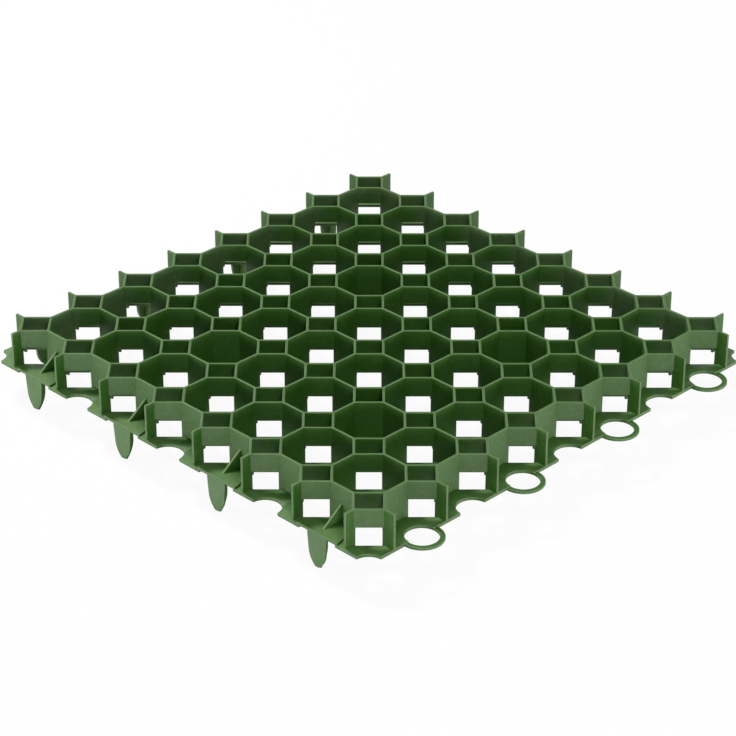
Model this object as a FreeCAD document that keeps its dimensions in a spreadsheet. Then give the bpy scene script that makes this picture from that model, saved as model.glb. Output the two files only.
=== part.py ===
import FreeCAD, Part
import math
import os

import Sketcher

# Plastic grass paver grid, moulded in one piece: a thin floor with round and square openings,
# a lattice of octagon and square cells standing on it, rings on two edges, and raised plates with
# spikes below them on the other two. X and Y run along the tile's edges from its middle, Z up from
# the underside.

SIZES = (
    # whole tile
    ("pitch", 62.5, "spacing of the small squares"),
    ("squares", 8, "small squares along one edge"),
    ("height", 36.5, "underside to rims"),
    ("edge_gap", 0.75, "floor edge inside the module line"),
    # floor
    ("floor_thick", 3.0, "floor thickness"),
    ("hole_r", 15.0, "round drain hole in an octagon's floor"),
    ("opening_half", 16.2, "half the side of the square opening under a small square"),
    ("blind_place", 1.5, "closed squares from the tile's middle, in spacings"),
    # walls
    ("wall", 2.2, "wall thickness"),
    ("square_half", 12.95, "square's middle to a wall's centre line"),
    ("square_wall", 17.5, "height of a small square's wall, down from the rim"),
    ("ring_setback", 1.0, "stub end inside the module line, ring edges"),
    ("spike_setback", 3.0, "stub end inside the module line, spike edges"),
    # rings
    ("ring_r", 19.7, "ring outside radius"),
    ("ring_thick", 2.2, "ring thickness"),
    # plates and spikes
    ("relief_side", 2.0, "relief's radius over the ring's"),
    ("relief_over", 0.2, "relief's depth over the ring's thickness"),
    ("plate_top", 5.0, "underside to the top of the plate over a relief"),
    ("plate_lap", 2.4, "lap of the plate onto the floor around the relief"),
    ("blade", 2.4, "thickness of the spike's blade"),
    ("blade_top", 11.3, "blade's half width at the underside"),
    ("blade_waist", 10.0, "blade's half width where its rounding starts"),
    ("blade_point", 2.0, "blade's half width at its end"),
    ("waist_drop", 13.4, "underside to the start of the blade's rounding"),
    ("blade_drop", 29.3, "underside to the blade's end"),
    ("blade_round", 21.0, "radius of the blade's rounding"),
    ("web", 2.4, "thickness of the spike's web"),
    ("web_top", 13.3, "web's depth at the underside"),
    ("web_waist", 12.3, "web's depth where its rounding starts"),
    ("web_point", 4.2, "web's depth at its point"),
    ("web_waist_drop", 10.5, "underside to the start of the web's rounding"),
    ("web_drop", 31.8, "underside to the web's point"),
    ("web_round", 26.0, "radius of the web's rounding"),
    # gussets
    ("gusset", 2.0, "gusset thickness"),
    ("gusset_rise", 16.5, "gusset's height on the link wall, over the plate"),
    ("gusset_foot", 8.75, "gusset's foot inside the module line"),
)

doc = FreeCAD.newDocument("grass_paver_grid")
sheet = doc.addObject("Spreadsheet::Sheet", "sizes")
for row, (alias, value, note) in enumerate(SIZES, start=1):
    sheet.set("A%d" % row, alias)
    sheet.set("B%d" % row, str(value))
    sheet.set("C%d" % row, note)
    sheet.setAlias("B%d" % row, alias)
doc.recompute()

# Lengths that several features share, as expressions on the sheet.
HALF = "(sizes.squares * sizes.pitch / 2)"
EDGE = "(%s - sizes.edge_gap)" % HALF
FIRST_CELL = "(-(sizes.squares - 1) * sizes.pitch / 2)"
FIRST_GAP = "(-(sizes.squares / 2 - 1) * sizes.pitch)"
RELIEF = "(sizes.ring_thick + sizes.relief_over)"
RELIEF_R = "(sizes.ring_r + sizes.relief_side)"
PLATE_R = "(%s + sizes.plate_lap)" % RELIEF_R
LINTEL = "(sizes.height - sizes.square_wall)"


def new_body(name):
    """An empty body for one kind of feature, joined to the others at the end."""
    body = doc.addObject("PartDesign::Body", name)
    doc.recompute()
    return body


def origin_feature(body, role):
    """One of the body's own origin planes or axes."""
    return next(f for f in body.Origin.OriginFeatures if f.Role == role)


def new_sketch(body, name, plane, x="0", y="0", z="0"):
    """A sketch on an origin plane, moved by three expressions in the plane's own axes."""
    sketch = body.newObject("Sketcher::SketchObject", name)
    sketch.AttachmentSupport = [(origin_feature(body, plane), "")]
    sketch.MapMode = "FlatFace"
    for axis, expression in zip("xyz", (x, y, z)):
        sketch.setExpression("AttachmentOffset.Base.%s" % axis, expression)
    return sketch


def value_of(expression):
    """An expression's value in millimetres."""
    value = sheet.evalExpression(expression)
    return float(getattr(value, "Value", value))


def place_point(sketch, edge, end, x, y):
    """Ties one end of an edge to the sketch's origin by two expressions."""
    for kind, axis, expression in (("DistanceX", -2, x), ("DistanceY", -1, y)):
        value = value_of(expression)
        if value == 0:
            sketch.addConstraint(Sketcher.Constraint("PointOnObject", edge, end, axis))
            continue
        points = (-1, 1, edge, end) if value > 0 else (edge, end, -1, 1)
        index = sketch.addConstraint(Sketcher.Constraint(kind, *points, abs(value)))
        sketch.setExpression("Constraints[%d]" % index, expression if value > 0 else "-(%s)" % expression)


def outline(sketch, corners):
    """A closed outline. A corner is (x, y), or (x, y, radius) where an arc leads on to the next.

    An arc bulges out of the outline, whose corners run anticlockwise.
    """
    points = [FreeCAD.Vector(value_of(c[0]), value_of(c[1]), 0) for c in corners]
    first = sketch.GeometryCount
    for i, corner in enumerate(corners):
        start = points[i]
        end = points[(i + 1) % len(points)]
        if len(corner) == 2:
            sketch.addGeometry(Part.LineSegment(start, end))
            continue
        radius = value_of(corner[2])
        chord = end - start
        sag = radius - math.sqrt(radius ** 2 - (chord.Length / 2) ** 2)
        out = FreeCAD.Vector(chord.y, -chord.x, 0).normalize()
        edge = sketch.addGeometry(Part.Arc(start, start + chord / 2 + out * sag, end))
        index = sketch.addConstraint(Sketcher.Constraint("Radius", edge, radius))
        sketch.setExpression("Constraints[%d]" % index, corner[2])
    for i, corner in enumerate(corners):
        before = first + (i - 1) % len(corners)
        sketch.addConstraint(Sketcher.Constraint("Coincident", before, 2, first + i, 1))
        place_point(sketch, first + i, 1, corner[0], corner[1])


def diamond(sketch, half):
    """A square turned by 45 degrees, given its middle-to-side distance."""
    reach = "(%s) * sqrt(2)" % half
    outline(sketch, [("0", "-(%s)" % reach), (reach, "0"), ("0", reach), ("-(%s)" % reach, "0")])


def disc(sketch, radius):
    """A circle about the sketch's origin."""
    middle, up = FreeCAD.Vector(), FreeCAD.Vector(0, 0, 1)
    circle = sketch.addGeometry(Part.Circle(middle, up, value_of(radius)))
    sketch.addConstraint(Sketcher.Constraint("Coincident", circle, 3, -1, 1))
    index = sketch.addConstraint(Sketcher.Constraint("Radius", circle, value_of(radius)))
    sketch.setExpression("Constraints[%d]" % index, radius)


def pad(name, sketch, length, reverse=False, symmetric=False):
    """A pad of the sketch, by an expression."""
    doc.recompute()
    body = sketch.getParentGeoFeatureGroup()
    feature = body.newObject("PartDesign::Pad", name)
    feature.Profile = sketch
    feature.setExpression("Length", length)
    feature.Reversed = reverse
    feature.SideType = "Symmetric" if symmetric else "One side"
    doc.recompute()
    body.Tip = feature
    return feature


def repeat(name, feature, along, count, step, across=None):
    """The feature again at equal steps along one axis, or on a square grid along two."""
    body = feature.getParentGeoFeatureGroup()
    pattern = body.newObject("PartDesign::LinearPattern", name)
    pattern.Originals = [feature]
    for suffix, axis in (("", along), ("2", across)):
        if axis is None:
            continue
        setattr(pattern, "Direction" + suffix, (origin_feature(body, axis), [""]))
        setattr(pattern, "Mode" + suffix, "Spacing")
        pattern.setExpression("Offset" + suffix, step)
        pattern.setExpression("Occurrences" + suffix, count)
    body.Tip = pattern
    doc.recompute()
    return pattern


def make_rings():
    """The rings on the +X and +Y edges, about the drain holes there."""
    for edge, x, y, along in (("x", HALF, FIRST_GAP, "Y_Axis"), ("y", FIRST_GAP, HALF, "X_Axis")):
        sketch = new_sketch(new_body("ring_body_" + edge), "ring_outline_" + edge, "XY_Plane", x, y)
        disc(sketch, "sizes.ring_r")
        disc(sketch, "sizes.hole_r")
        ring = pad("ring_" + edge, sketch, "sizes.ring_thick")
        repeat("rings_" + edge, ring, along, "sizes.squares / 2", "2 * sizes.pitch")


def loop(sketch, points):
    """A closed polygon of plain (x, y) points, in millimetres."""
    corners = [FreeCAD.Vector(x, y, 0) for x, y in points]
    sketch.addGeometry([Part.LineSegment(a, b) for a, b in zip(corners, corners[1:] + corners[:1])])


def around(points, x, y):
    """Points moved to a middle at (x, y)."""
    return [(x + u, y + v) for u, v in points]


def turned(points, quarters):
    """Points turned about the origin by quarter turns."""
    for _ in range(quarters):
        points = [(-v, u) for u, v in points]
    return points


def small_square(half):
    """Corners of a small square, given its middle-to-side distance."""
    reach = half * math.sqrt(2)
    return [(reach, 0), (0, reach), (-reach, 0), (0, -reach)]


class Lattice:
    """Plan of the walls, worked out from the sheet."""

    def __init__(self):
        self.pitch = value_of("sizes.pitch")
        self.count = int(value_of("sizes.squares"))
        self.side = value_of("sizes.wall / 2")
        self.outer = value_of("sizes.square_half + sizes.wall / 2")
        self.inner = value_of("sizes.square_half - sizes.wall / 2")
        self.high = value_of(HALF + " - sizes.ring_setback")
        self.low = value_of(HALF + " - sizes.spike_setback")
        first = value_of(FIRST_CELL)
        self.middles = [first + i * self.pitch for i in range(self.count)]
        # a small square's outside corner, and where its sides meet a link wall's sides
        self.corner = self.outer * math.sqrt(2)
        self.meet = self.corner - self.side

    def octagon(self):
        """Corners of an octagon cell's inside, about its middle."""
        flat = self.pitch / 2 - self.side
        short = self.pitch / 2 - self.meet
        return [point for i in range(4) for point in turned([(flat, -short), (flat, short)], i)]

    def rim(self):
        """The lattice's outside, anticlockwise from the -Y edge's first stub."""
        points = []
        for quarter, reach in enumerate((self.low, self.high, self.high, self.low)):
            depth = -self.middles[0]
            edge = []
            for x in self.middles:
                if x > self.middles[0]:
                    edge.append((x - self.meet, -depth - self.side))
                edge += [(x - self.side, -depth - self.meet), (x - self.side, -reach)]
                edge += [(x + self.side, -reach), (x + self.side, -depth - self.meet)]
                if x < self.middles[-1]:
                    edge.append((x + self.meet, -depth - self.side))
            points += turned(edge, quarter)
        return points

    def links(self):
        """Outlines of the link walls below the small squares' walls."""
        # a link starts at a small square's inside corner
        start = self.inner * math.sqrt(2)
        spans = [(self.middles[-1] + start, self.high), (-self.low, self.middles[0] - start)]
        spans += [(x + start, x + self.pitch - start) for x in self.middles[:-1]]
        for y in self.middles:
            for low, high in spans:
                left, right = y - self.side, y + self.side
                strip = [(low, left), (high, left), (high, right), (low, right)]
                yield strip
                yield [(v, u) for u, v in strip]


def make_walls():
    """Link walls from the underside up, then the whole lattice from the small squares' lower edges."""
    plan = Lattice()
    sketch = new_sketch(new_body("link_body"), "link_plan", "XY_Plane")
    for strip in plan.links():
        loop(sketch, strip)
    pad("links", sketch, LINTEL)

    sketch = new_sketch(new_body("lattice_body"), "lattice_plan", "XY_Plane", z="sizes.height")
    loop(sketch, plan.rim())
    gaps = [x + plan.pitch / 2 for x in plan.middles[:-1]]
    for x in gaps:
        for y in gaps:
            loop(sketch, around(plan.octagon(), x, y))
    for x in plan.middles:
        for y in plan.middles:
            loop(sketch, around(small_square(plan.inner), x, y))
    pad("lattice", sketch, "sizes.square_wall", reverse=True)


class Floor:
    """Plan of the floor, worked out from the sheet."""

    def __init__(self):
        self.pitch = value_of("sizes.pitch")
        self.count = int(value_of("sizes.squares"))
        self.half = value_of(HALF)
        self.gap = value_of("sizes.edge_gap")
        self.hole = value_of("sizes.hole_r")
        self.relief = value_of(RELIEF_R)
        self.opening = value_of("sizes.opening_half")
        self.blind = value_of("sizes.blind_place * sizes.pitch")

    def notch(self, middle, radius):
        """A round notch in the -Y edge: its two ends and its deepest point."""
        width = math.sqrt(radius ** 2 - self.gap ** 2)
        edge = self.gap - self.half
        return (middle - width, edge), (middle, radius - self.half), (middle + width, edge)

    def edge(self, spiked):
        """The -Y edge from its left corner notch to its right one, as the notches along it."""
        for i in range(1, self.count):
            wide = spiked and i % 2 == 1
            yield self.notch(i * self.pitch - self.half, self.relief if wide else self.hole)

    def draw_outside(self, sketch):
        """The floor's outside, with a notch at each gap and corner."""
        slant = self.hole / math.sqrt(2) - self.half
        for quarter, spiked in enumerate((True, False, False, True)):
            left = self.notch(-self.half, self.hole)[2]
            right = self.notch(self.half, self.hole)[0]
            # the corner notch runs from this edge's left end to the edge before it
            arcs = [(left, (slant, slant), (left[1], left[0]))]
            start = left
            for low, deep, high in self.edge(spiked):
                straight(sketch, turned([start, low], quarter))
                arcs.append((high, deep, low))
                start = high
            straight(sketch, turned([start, right], quarter))
            for arc in arcs:
                curve(sketch, turned(list(arc), quarter))

    def closed(self, x, y):
        """Whether the small square about (x, y) is one of the four that are closed below."""
        return math.isclose(abs(x), self.blind) and math.isclose(abs(y), self.blind)


def straight(sketch, points):
    """A line between two plain points."""
    sketch.addGeometry(Part.LineSegment(*[FreeCAD.Vector(x, y, 0) for x, y in points]))


def curve(sketch, points):
    """An arc through three plain points, anticlockwise."""
    sketch.addGeometry(Part.Arc(*[FreeCAD.Vector(x, y, 0) for x, y in points]))


def make_floor():
    """The floor with its round drain holes and the square openings under the small squares."""
    plan = Floor()
    lattice = Lattice()
    sketch = new_sketch(new_body("floor_body"), "floor_plan", "XY_Plane")
    plan.draw_outside(sketch)
    up = FreeCAD.Vector(0, 0, 1)
    gaps = [x + plan.pitch / 2 for x in lattice.middles[:-1]]
    for x in gaps:
        for y in gaps:
            sketch.addGeometry(Part.Circle(FreeCAD.Vector(x, y, 0), up, plan.hole))
    for x in lattice.middles:
        for y in lattice.middles:
            if not plan.closed(x, y):
                loop(sketch, around(small_square(plan.opening), x, y))
    pad("floor", sketch, "sizes.floor_thick")


def make_blind_squares():
    """Whole walls for the four small squares that are closed below."""
    first = "(-sizes.blind_place * sizes.pitch)"
    body = new_body("blind_body")
    sketch = new_sketch(body, "blind_outline", "XY_Plane", first, first, "sizes.floor_thick")
    diamond(sketch, "sizes.square_half + sizes.wall / 2")
    diamond(sketch, "sizes.square_half - sizes.wall / 2")
    wall = pad("blind_wall", sketch, LINTEL + " - sizes.floor_thick")
    repeat("blind_walls", wall, "X_Axis", "2", "2 * sizes.blind_place * sizes.pitch", "Y_Axis")


def make_spikes():
    """Plates over the reliefs for a neighbour's rings on the -X and -Y edges, with T-section spikes."""
    top = "((sizes.plate_top + %s) / 2)" % RELIEF
    step = "2 * sizes.pitch"
    count = "sizes.squares / 2"
    blade_corners = [
        ("-sizes.blade_point", "-sizes.blade_drop"),
        ("sizes.blade_point", "-sizes.blade_drop", "sizes.blade_round"),
        ("sizes.blade_waist", "-sizes.waist_drop"),
        ("sizes.blade_top", "0"),
        ("sizes.blade_top", top),
        ("-sizes.blade_top", top),
        ("-sizes.blade_top", "0"),
        ("-sizes.blade_waist", "-sizes.waist_drop", "sizes.blade_round"),
    ]
    web_corners = [
        ("0", "-sizes.blade_drop"),
        ("sizes.web_point", "-sizes.web_drop", "sizes.web_round"),
        ("sizes.web_waist", "-sizes.web_waist_drop"),
        ("sizes.web_top", "0"),
        ("sizes.web_top", top),
        ("0", top),
    ]
    # a plate is a half disc, cut off along the floor's edge
    width = "sqrt(%s ^ 2 - sizes.edge_gap ^ 2)" % PLATE_R
    plate_corners = {
        "x": [("sizes.edge_gap", width), ("sizes.edge_gap", "-" + width, PLATE_R)],
        "y": [("-" + width, "sizes.edge_gap"), (width, "sizes.edge_gap", PLATE_R)],
    }
    gusset_corners = [
        ("sizes.gusset_foot", "sizes.floor_thick"),
        ("(sizes.pitch / 2)", "sizes.floor_thick"),
        ("(sizes.pitch / 2)", "(sizes.plate_top + sizes.gusset_rise)"),
        ("sizes.gusset_foot", "sizes.plate_top"),
    ]
    for edge, along, blade_plane, web_plane, x, y in (
        ("x", "Y_Axis", "YZ_Plane", "XZ_Plane", "-" + HALF, FIRST_GAP),
        ("y", "X_Axis", "XZ_Plane", "YZ_Plane", FIRST_GAP, "-" + HALF),
    ):
        outward = edge == "y"
        body = new_body("plate_body_" + edge)
        sketch = new_sketch(body, "plate_outline_" + edge, "XY_Plane", x, y, RELIEF)
        outline(sketch, plate_corners[edge])
        plate = pad("plate_" + edge, sketch, "sizes.plate_top - %s" % RELIEF)
        repeat("plates_" + edge, plate, along, count, step)

        face = EDGE if outward else "-" + EDGE
        body = new_body("blade_body_" + edge)
        sketch = new_sketch(body, "blade_outline_" + edge, blade_plane, FIRST_GAP, "0", face)
        outline(sketch, blade_corners)
        blade = pad("blade_" + edge, sketch, "sizes.blade", reverse=outward)
        repeat("blades_" + edge, blade, along, count, step)

        level = FIRST_GAP if outward else "-" + FIRST_GAP
        body = new_body("web_body_" + edge)
        sketch = new_sketch(body, "web_outline_" + edge, web_plane, "-" + EDGE, "0", level)
        outline(sketch, web_corners)
        web = pad("web_" + edge, sketch, "sizes.web", symmetric=True)
        repeat("webs_" + edge, web, along, count, step)

        body = new_body("gusset_body_" + edge)
        sketch = new_sketch(body, "gusset_outline_" + edge, web_plane, "-" + HALF, "0", level)
        outline(sketch, gusset_corners)
        gusset = pad("gusset_" + edge, sketch, "sizes.gusset", symmetric=True)
        repeat("gussets_" + edge, gusset, along, count, step)


make_rings()
make_spikes()
make_blind_squares()
make_floor()
make_walls()
doc.recompute()

bodies = [item for item in doc.Objects if item.isDerivedFrom("PartDesign::Body")]
for item in doc.Objects:
    if "Invalid" in item.State or "Error" in item.State:
        raise RuntimeError("%s did not build: %s" % (item.Name, item.State))

# One fuse of all bodies at once, because a fuse for each feature of so many walls takes minutes.
solids = [Part.Solid(solid) for item in bodies for solid in item.Shape.Solids]
grid = doc.addObject("Part::Feature", "paver_grid")
grid.Shape = solids[0].multiFuse(solids[1:]).removeSplitter()
if len(grid.Shape.Solids) != 1 or not grid.Shape.isValid():
    raise RuntimeError("the grid is not one valid solid")

os.makedirs("parts", exist_ok=True)
grid.Shape.exportStep("parts/paver_grid.step")
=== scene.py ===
"""Looks of the grass paver grid: the moulded green plastic tile, its light and its camera."""

import logging
import math
from collections.abc import Iterator
from contextlib import contextmanager
from dataclasses import dataclass, field
from enum import Enum
from typing import Any

import bmesh
import bpy
from mathutils import Color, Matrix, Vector


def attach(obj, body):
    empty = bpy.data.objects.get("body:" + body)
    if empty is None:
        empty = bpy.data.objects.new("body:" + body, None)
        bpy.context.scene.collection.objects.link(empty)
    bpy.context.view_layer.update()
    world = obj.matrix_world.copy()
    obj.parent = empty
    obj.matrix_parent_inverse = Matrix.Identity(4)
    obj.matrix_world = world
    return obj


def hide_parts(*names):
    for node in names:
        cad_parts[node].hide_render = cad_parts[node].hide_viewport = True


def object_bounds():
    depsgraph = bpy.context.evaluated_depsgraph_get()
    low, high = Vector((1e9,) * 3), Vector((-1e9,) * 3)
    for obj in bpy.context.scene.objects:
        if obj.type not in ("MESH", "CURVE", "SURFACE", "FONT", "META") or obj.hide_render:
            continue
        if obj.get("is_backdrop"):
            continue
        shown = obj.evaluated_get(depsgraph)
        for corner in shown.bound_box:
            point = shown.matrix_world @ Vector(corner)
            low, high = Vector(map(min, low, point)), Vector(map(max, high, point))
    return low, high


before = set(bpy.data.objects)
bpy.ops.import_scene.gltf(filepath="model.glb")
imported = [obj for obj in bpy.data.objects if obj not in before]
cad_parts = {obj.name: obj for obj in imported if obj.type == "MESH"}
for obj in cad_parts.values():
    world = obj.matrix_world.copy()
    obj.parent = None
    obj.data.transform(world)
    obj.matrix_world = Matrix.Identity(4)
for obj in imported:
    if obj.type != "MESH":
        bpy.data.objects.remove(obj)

LOG = logging.getLogger("grass_paver_grid")
MM = 0.001
# the second material is paler: partly real wear, partly painted highlight on rounded edges and sloping faces
WORN_AND_HIGHLIT = 1  # the tile's second material, on its rounded edges
Colour = tuple[float, float, float]
Band = tuple[float, float]  # where a share starts to rise from 0, and where it reaches 1
WHITE: Colour = (1.0, 1.0, 1.0)


def srgb(red: int, green: int, blue: int) -> Colour:
    """Turns a listed colour, 0 to 255 a channel, into scene-linear numbers."""
    return tuple(Color((red / 255, green / 255, blue / 255)).from_srgb_to_scene_linear())


@contextmanager
def edited(mesh: bpy.types.Mesh) -> Iterator[bmesh.types.BMesh]:
    """Opens a mesh for editing, and writes it back at the end.

    Args:
        mesh: The mesh.

    Returns:
        Its editable form.
    """
    work = bmesh.new()
    work.from_mesh(mesh)
    yield work
    work.to_mesh(mesh)
    work.free()


def make_plain(piece: bpy.types.Object) -> None:
    """Turns a piece and its modifiers into a plain mesh.

    Args:
        piece: The piece.
    """
    depsgraph = bpy.context.evaluated_depsgraph_get()
    plain = bpy.data.meshes.new_from_object(piece.evaluated_get(depsgraph))
    piece.modifiers.clear()
    piece.data = plain


class Light(Enum):
    """The studio's lamps, by the side that they stand on."""

    KEY = "far_left"
    FRONT = "right_front"
    LEFT = "low_left"
    RIGHT = "low_right"


@dataclass(frozen=True)
class Lamp:
    """A flat soft lamp that faces the tile."""

    place: tuple[float, float, float]
    width: float
    height: float
    power: float

    def hang(self, name: str) -> None:
        """Makes the lamp and aims it at the middle of the tile.

        Args:
            name: Its name.
        """
        data = bpy.data.lights.new(name, "AREA")
        data.shape = "RECTANGLE"
        data.size = self.width
        data.size_y = self.height
        data.energy = self.power
        lamp = bpy.data.objects.new(name, data)
        lamp.location = self.place
        lamp.rotation_euler = (-Vector(self.place)).to_track_quat("-Z", "Y").to_euler()
        bpy.context.scene.collection.objects.link(lamp)


class Value:
    """A socket that carries a number, with the operators that the trees use."""

    def __init__(self, tree: "Tree", socket: bpy.types.NodeSocket) -> None:
        """Wraps an output socket of a tree."""
        self.tree = tree
        self.socket = socket

    def _maths(self, operation: str, first: Any, second: Any) -> "Value":
        """Adds one Math node and returns its result."""
        node = self.tree.add("ShaderNodeMath", {"operation": operation}, {0: first, 1: second})
        return Value(self.tree, node.outputs[0])

    def __add__(self, other: Any) -> "Value":
        """Sum."""
        return self._maths("ADD", self, other)

    __radd__ = __add__

    def __sub__(self, other: Any) -> "Value":
        """Difference."""
        return self._maths("SUBTRACT", self, other)

    def __rsub__(self, other: Any) -> "Value":
        """Difference, the other way round."""
        return self._maths("SUBTRACT", other, self)

    def __mul__(self, other: Any) -> "Value":
        """Product."""
        return self._maths("MULTIPLY", self, other)

    __rmul__ = __mul__

    def __truediv__(self, other: Any) -> "Value":
        """Quotient."""
        return self._maths("DIVIDE", self, other)

    def __abs__(self) -> "Value":
        """Size without its sign."""
        return self._maths("ABSOLUTE", self, 0.0)

    def above(self, other: Any) -> "Value":
        """1 where this is greater, and 0 elsewhere."""
        return self._maths("GREATER_THAN", self, other)

    def at_least(self, other: Any) -> "Value":
        """The greater of the two."""
        return self._maths("MAXIMUM", self, other)

    def ramp(self, low: float, high: float) -> "Value":
        """Rises smoothly from 0 at low to 1 at high.

        Args:
            low: Where the rise starts.
            high: Where it ends.

        Returns:
            The share, 0 to 1.
        """
        settings = {"interpolation_type": "SMOOTHSTEP"}
        sockets = {"Value": self, "From Min": low, "From Max": high}
        node = self.tree.add("ShaderNodeMapRange", settings, sockets)
        return Value(self.tree, node.outputs["Result"])


class Tree:
    """A node tree, with the one method that adds nodes to it and short forms for common nodes."""

    def __init__(self, tree: bpy.types.NodeTree) -> None:
        """Wraps a shader, world or geometry tree."""
        self.tree = tree

    def add(self, kind: str, settings: dict[str, Any], sockets: dict[Any, Any]) -> bpy.types.Node:
        """Adds a node, sets it up, then fills or links its inputs.

        Args:
            kind: The node's type.
            settings: Its properties, set first.
            sockets: A value, a socket or a wrapped socket for each input.

        Returns:
            The new node.
        """
        node = self.tree.nodes.new(kind)
        for key, value in settings.items():
            setattr(node, key, value)
        self.fill(node, sockets)
        return node

    def fill(self, node: bpy.types.Node, sockets: dict[Any, Any]) -> None:
        """Sets or links a node's inputs.

        Args:
            node: The node.
            sockets: A value, a socket or a wrapped socket for each input.
        """
        for key, value in sockets.items():
            if isinstance(value, Value):
                value = value.socket
            if isinstance(value, bpy.types.NodeSocket):
                self.tree.links.new(value, node.inputs[key])
            elif isinstance(value, tuple) and node.inputs[key].type == "RGBA":
                node.inputs[key].default_value = (*value, 1.0)
            else:
                node.inputs[key].default_value = value

    def coordinates(self, kind: str) -> bpy.types.NodeSocket:
        """The place or direction of a kind, such as Object, at each point."""
        return self.add("ShaderNodeTexCoord", {}, {}).outputs[kind]

    def parts(self, vector: bpy.types.NodeSocket) -> tuple[Value, ...]:
        """A vector's X, Y and Z."""
        node = self.add("ShaderNodeSeparateXYZ", {}, {"Vector": vector})
        return tuple(Value(self, node.outputs[axis]) for axis in "XYZ")

    def is_ray(self, kind: str) -> Value:
        """1 for rays of a kind, such as Camera, and 0 for the others."""
        path = self.add("ShaderNodeLightPath", {}, {})
        return Value(self, path.outputs["Is %s Ray" % kind])


class Shader(Tree):
    """A material's tree, with its Principled shader."""

    def __init__(self, name: str) -> None:
        """Starts a material with an output and a Principled shader.

        Args:
            name: The material's name.
        """
        self.material = bpy.data.materials.new(name)
        self.material.use_nodes = True
        super().__init__(self.material.node_tree)
        self.surface = self.tree.nodes["Principled BSDF"]

    def noise(self, place: bpy.types.NodeSocket, scale: float, layers: float) -> Value:
        """Soft noise over a place.

        Args:
            place: The coordinates.
            scale: Lumps for each metre.
            layers: Finer layers over them.

        Returns:
            The noise, about 0.5.
        """
        sockets = {"Vector": place, "Scale": scale, "Detail": layers}
        return Value(self, self.add("ShaderNodeTexNoise", {}, sockets).outputs["Fac"])

    def mix(self, share: Any, first: Any, second: Any) -> bpy.types.NodeSocket:
        """Mixes two colours.

        Args:
            share: How much of the second.
            first: A colour or socket.
            second: A colour or socket.

        Returns:
            The mixed colour.
        """
        node = self.add("ShaderNodeMix", {"data_type": "RGBA"}, {"Factor": share})
        places = [index for index, socket in enumerate(node.inputs) if socket.type == "RGBA"]
        self.fill(node, dict(zip(places, (first, second))))
        return next(out for out in node.outputs if out.type == "RGBA")


@dataclass(frozen=True)
class Share:
    """How much of a colour shows: the least of it, and what the flecks add."""

    least: float
    added: float

    def over(self, flecks: Value) -> Value:
        """The share at each point of a pattern of flecks."""
        return self.least + self.added * flecks


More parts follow.
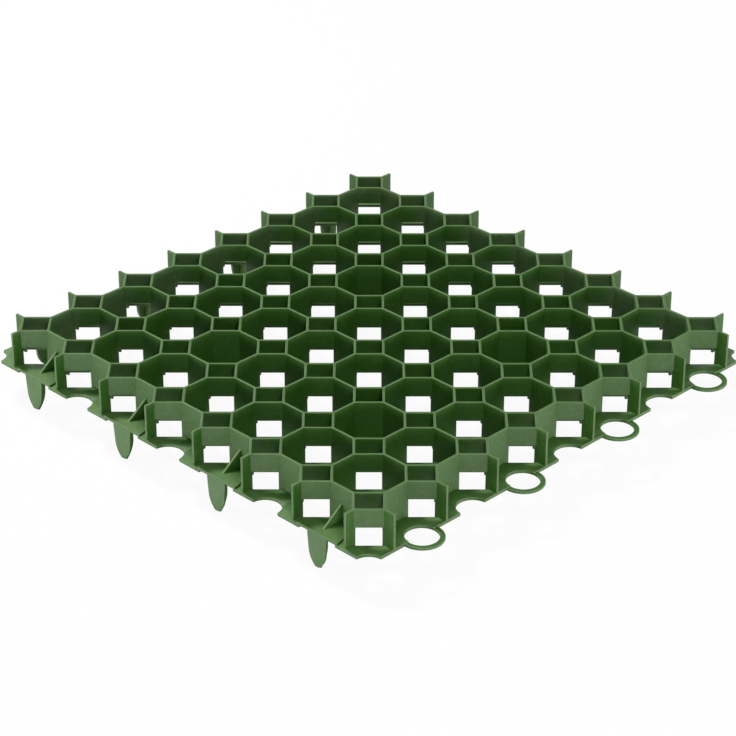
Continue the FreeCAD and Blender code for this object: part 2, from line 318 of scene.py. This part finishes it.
@dataclass(frozen=True)
class MouldedPlastic:
    """Dark green moulded polyethylene, mottled, with painted sheen on the faces that look outwards along the
    tile's outer edges, painted light on the ledges by the border, and pale rims that are partly scuffing and
    partly painted highlight.
    """

    name: str = "moulded_green_plastic"
    body: Colour = srgb(50, 93, 23)
    deep: Colour = srgb(44, 87, 18)
    bloom: Colour = srgb(80, 106, 62)
    # rim: paler on the rims, partly real scuffing and partly painted highlight
    rim: Colour = srgb(62, 96, 38)
    # painted sheen: a paler, greyer colour for the upright faces that face outwards at the tile's border
    outward_sheen: Colour = srgb(112, 131, 100)
    # painted light: a brighter green for the level ledges near the tile's border
    ledge_light: Colour = srgb(94, 130, 70)

    # noise: lumps for each metre, and the finer layers over them
    cloud_scale: float = 38.0
    cloud_layers: float = 3.0
    fleck_scale: float = 260.0
    grain_scale: float = 1500.0
    fine_layers: float = 2.0
    noise_middle: float = 0.5

    # bands of the noise, and how much of the colour they bring
    mottle_band: Band = (0.35, 0.65)
    bloom_flecks: Band = (0.45, 0.8)
    bloom_clouds: Band = (0.3, 0.7)
    bloom_share: float = 0.55

    # bands of the normal: how level a face is, and how squarely it faces outwards
    level_band: Band = (0.4, 0.8)
    outward_band: Band = (0.2, 0.6)

    # bands in metres: up from the underside, and out from the tile's middle
    rim_band: Band = (0.0360, 0.0364)
    outer_band: Band = (0.204, 0.222)
    ledge_band: Band = (0.228, 0.238)
    ledge_end: Band = (0.2492, 0.2498)
    rim_scuff_and_highlight_share: Share = Share(0.75, 0.25)
    outward_sheen_share: Share = Share(0.2, 0.3)
    ledge_light_share: Share = Share(0.4, 0.3)

    roughness: float = 0.5
    cloud_roughness: float = 0.18
    fleck_roughness: float = 0.12
    rim_roughness: float = 0.1
    specular: float = 0.42
    fleck_relief: float = 0.6
    grain_relief: float = 0.4
    relief_strength: float = 0.12
    relief_depth: float = 0.4 * MM

    def material(self) -> bpy.types.Material:
        """Builds the finish.

        Returns:
            The material.
        """
        shader = Shader(self.name)
        place = shader.coordinates("Object")
        clouds = shader.noise(place, self.cloud_scale, self.cloud_layers)
        flecks = shader.noise(place, self.fleck_scale, self.fine_layers)
        grain = shader.noise(place, self.grain_scale, self.fine_layers)
        rim = shader.parts(place)[2].ramp(*self.rim_band)

        rough = (
            self.roughness
            + self.cloud_roughness * (clouds - self.noise_middle)
            + self.fleck_roughness * (flecks - self.noise_middle)
            + self.rim_roughness * rim
        )
        bump = shader.add("ShaderNodeBump", {}, {
            "Strength": self.relief_strength,
            "Distance": self.relief_depth,
            "Height": self.fleck_relief * flecks + self.grain_relief * grain,
        })
        shader.fill(shader.surface, {
            "Base Color": self.colour(shader, clouds, flecks, rim),
            "Roughness": rough,
            "Normal": bump.outputs["Normal"],
            "Specular IOR Level": self.specular,
        })
        return shader.material

    def colour(self, shader: Shader, clouds: Value, flecks: Value, rim: Value) -> bpy.types.NodeSocket:
        """Mixes the plastic's colours over the tile.

        Args:
            shader: The material's tree.
            clouds: The broad noise.
            flecks: The fine noise.
            rim: 1 on the rims, and 0 below them.

        Returns:
            The colour.
        """
        x, y, _ = (abs(part) for part in shader.parts(shader.coordinates("Object")))
        facing_x, facing_y, facing_z = (abs(part) for part in shader.parts(shader.coordinates("Normal")))
        upright = 1.0 - facing_z.ramp(*self.level_band)
        aside = x.at_least(y)
        by_x = x.above(y)
        outward = by_x * facing_x + (1.0 - by_x) * facing_y

        bloomed = flecks.ramp(*self.bloom_flecks) * clouds.ramp(*self.bloom_clouds) * self.bloom_share
        ledge_light_mask = (1.0 - upright) * aside.ramp(*self.ledge_band) * (1.0 - aside.ramp(*self.ledge_end))
        outward_sheen_mask = upright * outward.ramp(*self.outward_band) * aside.ramp(*self.outer_band)

        colour = shader.mix(clouds.ramp(*self.mottle_band), self.deep, self.body)
        colour = shader.mix(bloomed, colour, self.bloom)
        # painted light on the level ledges near the border, flecked
        colour = shader.mix(ledge_light_mask * self.ledge_light_share.over(flecks), colour, self.ledge_light)
        # painted sheen on the upright faces that face outwards at the border, flecked
        colour = shader.mix(outward_sheen_mask * self.outward_sheen_share.over(flecks), colour, self.outward_sheen)
        # paler rims: partly scuffing, partly painted highlight
        return shader.mix(rim * self.rim_scuff_and_highlight_share.over(flecks), colour, self.rim)


@dataclass(frozen=True)
class OutwardEdges:
    """Geometry Nodes that weigh the tile's outward edges for rounding.

    The rims weigh most, and level edges between foot and rim, such as the windows' heads, nothing.
    """

    name: str = "outward_edges"
    least_angle: float = math.radians(32)
    rim_level: float = 36.4 * MM
    foot_level: float = 10.0 * MM
    rim_weight: float = 1.0
    edge_weight: float = 0.7
    upright_rise: float = 0.1 * MM

    def sizes(self) -> dict[str, float]:
        """Names the tree's number inputs.

        Returns:
            The value of each input.
        """
        return {
            "Least Angle": self.least_angle,
            "Rim Level": self.rim_level,
            "Foot Level": self.foot_level,
            "Rim Weight": self.rim_weight,
            "Edge Weight": self.edge_weight,
            "Upright Rise": self.upright_rise,
        }

    def group(self) -> bpy.types.NodeTree:
        """Builds the tree.

        Returns:
            The node group, with its sizes as named inputs.
        """
        group = bpy.data.node_groups.new(self.name, "GeometryNodeTree")
        group.interface.new_socket("Geometry", in_out="OUTPUT", socket_type="NodeSocketGeometry")
        group.interface.new_socket("Geometry", in_out="INPUT", socket_type="NodeSocketGeometry")
        for size in self.sizes():
            group.interface.new_socket(size, in_out="INPUT", socket_type="NodeSocketFloat")
        group.interface.new_socket("Finish", in_out="INPUT", socket_type="NodeSocketMaterial")

        tree = Tree(group)
        given = tree.add("NodeGroupInput", {}, {}).outputs
        bend = Value(tree, tree.add("GeometryNodeInputMeshEdgeAngle", {}, {}).outputs["Signed Angle"])
        ends = tree.add("GeometryNodeInputMeshEdgeVertices", {}, {}).outputs
        first, second = (tree.parts(ends[name])[2] for name in ("Position 1", "Position 2"))
        level = (first + second) / 2
        upright = abs(first - second).above(given["Upright Rise"])
        on_rim = level.above(given["Rim Level"])
        lower = upright.at_least(1.0 - level.above(given["Foot Level"]))
        weight = on_rim * given["Rim Weight"] + (1.0 - on_rim) * lower * given["Edge Weight"]
        stored = tree.add("GeometryNodeStoreNamedAttribute", {"data_type": "FLOAT", "domain": "EDGE"}, {
            "Geometry": given["Geometry"],
            "Name": "bevel_weight_edge",
            "Value": weight * bend.above(given["Least Angle"]),
        })
        real = tree.add("GeometryNodeRealizeInstances", {}, {"Geometry": stored.outputs["Geometry"]})
        dressed = tree.add("GeometryNodeSetMaterial", {}, {
            "Geometry": real.outputs["Geometry"],
            "Material": given["Finish"],
        })
        tree.add("NodeGroupOutput", {}, {"Geometry": dressed.outputs["Geometry"]})
        return group

    def put_on(self, piece: bpy.types.Object, finish: bpy.types.Material) -> None:
        """Adds the tree to a piece and sets its inputs.

        Args:
            piece: The piece.
            finish: Its material.
        """
        given = {**self.sizes(), "Finish": finish}
        modifier = piece.modifiers.new(self.name, "NODES")
        modifier.node_group = self.group()
        for item in modifier.node_group.interface.items_tree:
            if item.in_out == "INPUT" and item.name in given:
                modifier[item.identifier] = given[item.name]


@dataclass(frozen=True)
class LowerWalls:
    """Walls down to the floor for the two closed small squares whose sides the solid leaves open."""

    name: str = "lower_walls"
    spacing: float = 62.5 * MM
    spacings_out: float = 1.5
    half_width: float = 12.95 * MM
    wall: float = 2.2 * MM
    foot: float = 3.0 * MM
    head: float = 19.0 * MM

    def mesh(self) -> bpy.types.Mesh:
        """Makes a square tube under each of the two squares, corner on to the tile's edges.

        Returns:
            Both tubes as one mesh.
        """
        out = self.spacing * self.spacings_out
        outer, inner = ((self.half_width + side * self.wall / 2) * math.sqrt(2) for side in (1, -1))
        section = ((outer, self.foot), (outer, self.head), (inner, self.head), (inner, self.foot))
        corners = ((1, 0), (0, 1), (-1, 0), (0, -1))
        mesh = bpy.data.meshes.new(self.name)
        with edited(mesh) as work:
            for middle in (-out, out):
                rings = [
                    [work.verts.new((middle + reach * x, out + reach * y, level)) for x, y in corners]
                    for reach, level in section
                ]
                for low, high in zip(rings, rings[1:] + rings[:1]):
                    for here in range(len(corners)):
                        # index -1 is the last corner, so each tube closes on itself
                        work.faces.new((low[here - 1], low[here], high[here], high[here - 1]))
        return mesh

    def join(self, piece: bpy.types.Object) -> None:
        """Unites the walls with the tile.

        Args:
            piece: The tile, with its triangles merged.
        """
        walls = bpy.data.objects.new(self.name, self.mesh())
        bpy.context.scene.collection.objects.link(walls)
        union = piece.modifiers.new(self.name, "BOOLEAN")
        union.operation = "UNION"
        union.solver = "EXACT"
        union.object = walls
        make_plain(piece)
        bpy.data.objects.remove(walls)


@dataclass
class PaverGrid:
    """The moulded tile: one piece that stands for the CAD solid, with its mould's small edge radii."""

    node: str = "paver_grid"
    slot: str = "green_plastic"
    name: str = "moulded_tile"
    merge_distance: float = 0.005 * MM
    edge_radius: float = 0.5 * MM
    edge_segments: int = 2
    flat_angle: float = math.radians(0.3)
    crease_angle: float = math.radians(24)
    level_rise: float = 0.9  # a normal that rises or falls less belongs to an upright face
    gusset_rise: tuple[float, float] = (0.3, 0.95)
    edges: OutwardEdges = field(default_factory=OutwardEdges)
    lower_walls: LowerWalls = field(default_factory=LowerWalls)
    finish: MouldedPlastic = field(default_factory=MouldedPlastic)
    # paler plastic for the rounded edges and the gussets' sloping edges: partly wear, partly painted
    # highlight
    worn_and_highlit: MouldedPlastic = field(default_factory=lambda: MouldedPlastic(
        name="worn_and_highlit_green_plastic",
        body=srgb(112, 136, 92),
        deep=srgb(100, 126, 80),
        bloom=srgb(124, 146, 106),
        rim=srgb(78, 108, 56),
    ))

    def build(self) -> bpy.types.Object:
        """Copies the solid's mesh, adds the walls that it lacks and rounds its edges.

        Returns:
            The finished piece.
        """
        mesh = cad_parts[self.node].data.copy()
        mesh.name = self.name
        if mesh.has_custom_normals:
            mesh.attributes.remove(mesh.attributes["custom_normal"])
        self.merge_points(mesh)
        piece = bpy.data.objects.new(self.name, mesh)
        bpy.context.scene.collection.objects.link(piece)
        self.lower_walls.join(piece)
        self.merge_points(piece.data)
        self.join_triangles(piece.data)
        self.round_edges(piece)
        self.shade(piece.data)
        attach(piece, "root")
        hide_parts(self.node)
        return piece

    def merge_points(self, mesh: bpy.types.Mesh) -> None:
        """Merges the points that lie together, so that loose triangles become one skin."""
        with edited(mesh) as work:
            bmesh.ops.remove_doubles(work, verts=work.verts, dist=self.merge_distance)

    def join_triangles(self, mesh: bpy.types.Mesh) -> None:
        """Clears the edges that only split an upright flat face.

        Args:
            mesh: The merged mesh.
        """
        with edited(mesh) as work:
            inside = [edge for edge in work.edges if self.lies_in_a_wall(edge)]
            bmesh.ops.dissolve_edges(work, edges=inside, use_verts=True, use_face_split=False)

    def lies_in_a_wall(self, edge: bmesh.types.BMEdge) -> bool:
        """Whether an edge only splits an upright flat face; level faces keep their triangles."""
        upright = abs(edge.link_faces[0].normal.z) < self.level_rise
        return upright and edge.calc_face_angle(0.0) < self.flat_angle

    def round_edges(self, piece: bpy.types.Object) -> None:
        """Dresses the tile, rounds its outward edges and turns the result into a plain mesh.

        Args:
            piece: The tile.
        """
        piece.data.materials.clear()
        for finish in (self.finish, self.worn_and_highlit):
            piece.data.materials.append(finish.material())
        self.edges.put_on(piece, piece.data.materials[0])
        bevel = piece.modifiers.new("edge_radius", "BEVEL")
        bevel.width = self.edge_radius
        bevel.segments = self.edge_segments
        bevel.limit_method = "WEIGHT"
        # the rounded faces take the paler second material: partly wear, partly painted highlight
        bevel.material = WORN_AND_HIGHLIT
        bevel.use_clamp_overlap = True
        make_plain(piece)

    def shade(self, mesh: bpy.types.Mesh) -> None:
        """Shades rounded edges and holes smooth and the rest flat, and gives the gussets' sloping edges the
        paler second material, partly wear and partly painted highlight.

        Args:
            mesh: The rounded mesh.
        """
        least, most = self.gusset_rise
        with edited(mesh) as work:
            for face in work.faces:
                in_a_hole = any(self.bends_gently(edge) for edge in face.edges)
                face.smooth = in_a_hole or face.material_index == WORN_AND_HIGHLIT
            for face in work.faces:
                # the sloping faces take the paler second material: partly wear, partly painted highlight
                if least < face.normal.z < most:
                    face.material_index = WORN_AND_HIGHLIT
        mesh.set_sharp_from_angle(angle=self.crease_angle)

    def bends_gently(self, edge: bmesh.types.BMEdge) -> bool:
        """Whether an edge lies within the round wall of a hole, and not along a rounded edge."""
        rounded = any(face.material_index == WORN_AND_HIGHLIT for face in edge.link_faces)
        return not rounded and self.flat_angle < edge.calc_face_angle(0.0) < self.crease_angle


@dataclass
class Studio:
    """A white floor, a white surround, soft lamps and the camera of the photograph."""

    floor_size: float = 12.0
    floor_colour: Colour = (0.9, 0.9, 0.9)
    floor_roughness: float = 0.9
    unlit_share: float = 0.94
    shade_edge: Band = (0.24, 0.27)
    horizon: float = 3.3
    overhead: float = 0.03
    horizon_band: Band = (0.02, 0.28)
    lens: float = 129.56
    sensor: float = 36.0
    view_limit: float = 50.0
    azimuth: float = math.radians(45.05)
    elevation: float = math.radians(29.10)
    distance: float = 2.3831
    target: Vector = field(default_factory=lambda: Vector((0.05888, -0.06024, 0.0365)))
    lamps: dict[Light, Lamp] = field(default_factory=lambda: {
        Light.KEY: Lamp((-1.5, 0.1, 2.25), 0.5, 0.5, 62.0),
        Light.FRONT: Lamp((0.98, -0.52, 1.0), 0.4, 0.4, 6.0),
        Light.LEFT: Lamp((-0.5, -1.2, 0.1), 1.0, 0.14, 6.0),
        Light.RIGHT: Lamp((1.2, 0.5, 0.1), 1.0, 0.14, 5.6),
    })

    def floor(self, level: float) -> None:
        """Lays the floor under the tile.

        Args:
            level: Its height.
        """
        half = self.floor_size / 2
        corners = [(half * x, half * y, level) for x, y in ((-1, -1), (1, -1), (1, 1), (-1, 1))]
        mesh = bpy.data.meshes.new("studio_floor")
        mesh.from_pydata(corners, [], [(0, 1, 2, 3)])
        mesh.materials.append(self.floor_finish())
        floor = bpy.data.objects.new("studio_floor", mesh)
        bpy.context.scene.collection.objects.link(floor)
        floor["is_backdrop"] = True

    def floor_finish(self) -> bpy.types.Material:
        """Matt white, seen mostly unlit so that shadows stay faint, and dark under the tile in reflections.

        Returns:
            The material.
        """
        shader = Shader("studio_white")
        shader.fill(shader.surface, {
            "Base Color": self.floor_colour,
            "Roughness": self.floor_roughness,
        })
        x, y, _ = (abs(part) for part in shader.parts(shader.coordinates("Object")))
        mirrored = shader.is_ray("Glossy") + shader.is_ray("Transmission")
        share = shader.is_ray("Camera") + mirrored * x.at_least(y).ramp(*self.shade_edge)
        glow = shader.add("ShaderNodeEmission", {}, {"Color": WHITE, "Strength": 1.0})
        both = shader.add("ShaderNodeMixShader", {}, {
            "Fac": share * self.unlit_share,
            1: shader.surface.outputs["BSDF"],
            2: glow.outputs["Emission"],
        })
        shader.fill(shader.tree.nodes["Material Output"], {"Surface": both.outputs["Shader"]})
        return shader.material

    def world(self) -> None:
        """Sets a surround that is plain white to the eye, and lights the tile mostly from near the floor."""
        world = bpy.data.worlds.new("studio_surround")
        world.use_nodes = True
        tree = Tree(world.node_tree)
        seen = tree.is_ray("Camera") + tree.is_ray("Glossy") + tree.is_ray("Transmission")
        rise = tree.parts(tree.coordinates("Generated"))[2]
        glow = self.horizon - (self.horizon - self.overhead) * rise.ramp(*self.horizon_band)
        strength = seen + glow * (1.0 - seen)
        tree.fill(world.node_tree.nodes["Background"], {"Color": WHITE, "Strength": strength})
        bpy.context.scene.world = world

    def light(self) -> None:
        """Hangs the lamps, each aimed at the tile."""
        for side, lamp in self.lamps.items():
            lamp.hang("studio_" + side.value)

    def camera(self) -> None:
        """Sets the camera where the photograph was taken from."""
        back = Vector((
            math.sin(self.azimuth) * math.cos(self.elevation),
            -math.cos(self.azimuth) * math.cos(self.elevation),
            math.sin(self.elevation),
        ))
        data = bpy.data.cameras.new("photo_camera")
        data.lens = self.lens
        data.sensor_width = self.sensor
        data.clip_end = self.view_limit
        camera = bpy.data.objects.new("photo_camera", data)
        camera.location = self.target + back * self.distance
        camera.rotation_euler = (-back).to_track_quat("-Z", "Y").to_euler()
        bpy.context.scene.collection.objects.link(camera)
        bpy.context.scene.camera = camera


def main() -> None:
    logging.basicConfig(level=logging.INFO)
    cad_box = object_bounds()
    tile = PaverGrid().build()
    LOG.info("%s: %d faces", tile.name, len(tile.data.polygons))

    studio = Studio()
    studio.floor(cad_box[0].z)
    studio.world()
    studio.light()
    studio.camera()
    bpy.context.scene.view_settings.view_transform = "Standard"
    LOG.info("studio: %d lamps", len(studio.lamps))


if __name__ == "__main__":
    main()
